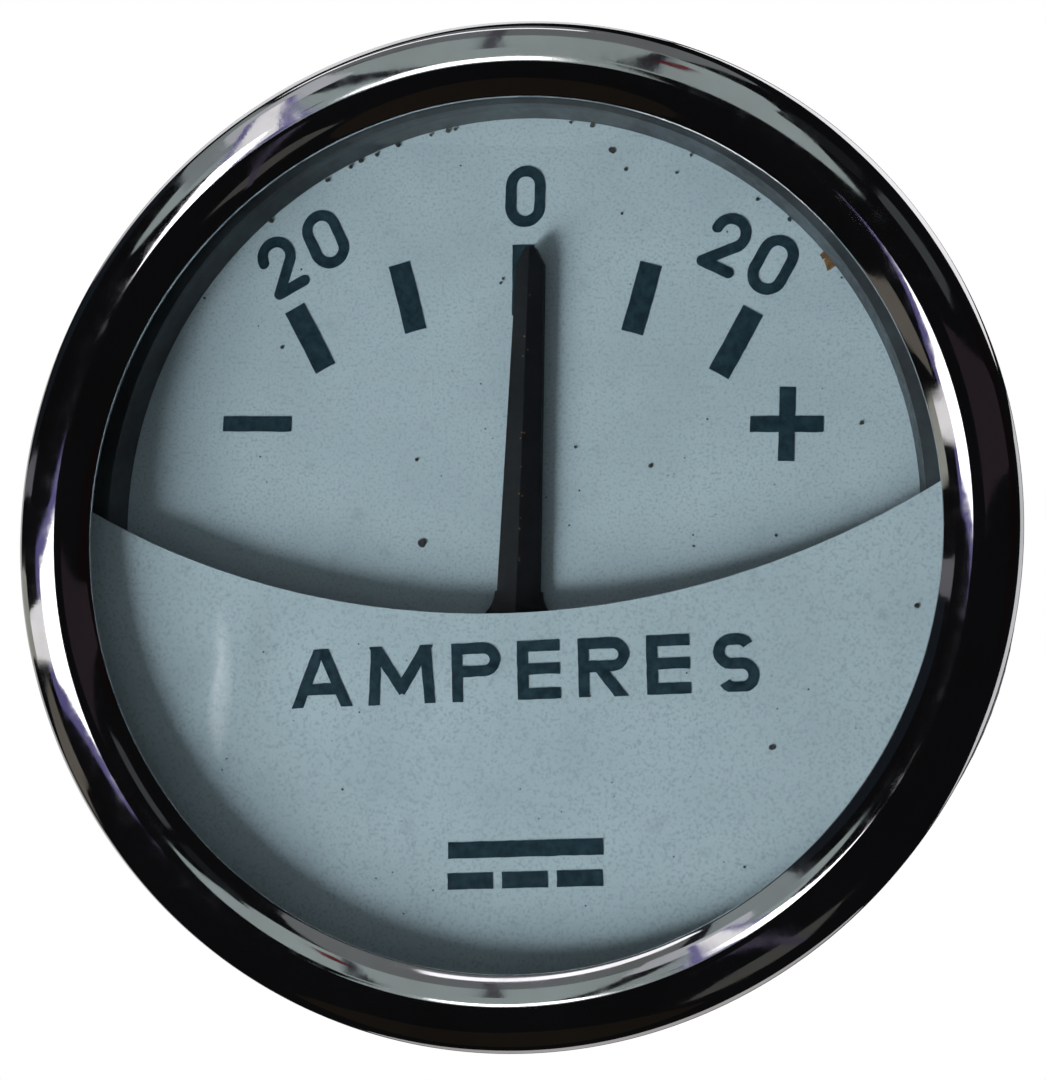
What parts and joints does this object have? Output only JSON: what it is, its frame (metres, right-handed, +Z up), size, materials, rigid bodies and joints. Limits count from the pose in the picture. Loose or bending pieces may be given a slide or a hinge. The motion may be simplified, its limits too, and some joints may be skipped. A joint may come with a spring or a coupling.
{
  "type": "analog panel meter",
  "caption": "Round centre-zero panel ammeter: chromed bezel, glass window, stepped dial, swinging pointer on a moving-iron movement, steel can case, terminal studs and rear clamp bridge.",
  "frame": {"origin": "centre of the bezel's rear face, which seats on the panel", "axes": "+Y out of the back of the meter, along its axis; the dial faces -Y; +Z up the dial; +X to the right as the dial is read"},
  "size_m": [0.057, 0.0415, 0.057],
  "materials": {
    "bezel_chrome": "polished chrome plate over brass",
    "window_glass": "clear flat glass",
    "gasket_rubber": "matt black rubber",
    "dial_paint": "matt pale blue-grey white paint on sheet metal",
    "ring_paint": "matt dark grey-green paint",
    "case_steel": "zinc-plated sheet steel",
    "bright_steel": "bright plated steel",
    "magnet_steel": "dark ground magnet steel",
    "soft_iron": "plain soft iron",
    "brass": "turned or stamped brass",
    "copper": "rolled copper strip",
    "fibre": "red-brown vulcanised fibre",
    "pointer_plastic": "black moulded plastic"
  },
  "bodies": {
    "housing": {"bezel": "bezel_chrome", "glass": "window_glass", "glass_gasket": "gasket_rubber", "front_mask": "dial_paint", "spacer_ring": "ring_paint", "scale_plate": "dial_paint", "case": "case_steel", "dial_screws": "brass", "dial_spacers": "brass", "front_cock": "brass", "stop_pins": "bright_steel", "front_bearing": "brass", "movement_pillars": "brass", "chassis_plate": "brass", "rear_bearing": "brass", "chassis_posts": "brass", "case_screws": "bright_steel", "magnet": "magnet_steel", "magnet_clamp": "brass", "magnet_screw": "bright_steel", "conductor_strap": "copper", "inner_insulator": "fibre", "terminal_stud_left": "brass", "terminal_stud_right": "brass", "insulating_bushes": "fibre", "plain_washers": "bright_steel", "clamp_nuts": "brass", "spring_washers": "bright_steel", "terminal_nuts": "brass", "bracket_stud": "bright_steel", "mounting_bridge": "case_steel", "bridge_washer": "bright_steel", "knurled_nut": "brass"},
    "movement": {"staff": "bright_steel", "pointer": "pointer_plastic", "armature": "soft_iron", "balance_arm": "brass"}
  },
  "joints": [
    {"name": "pointer_swing", "type": "hinge", "parent": "housing", "child": "movement", "pos_m": [-0.0001, 0, -0.0115], "axis": [0, 1, 0], "range_deg": [-37.4, 34.6], "stiffness_Nm_per_rad": 0.00002}
  ]
}
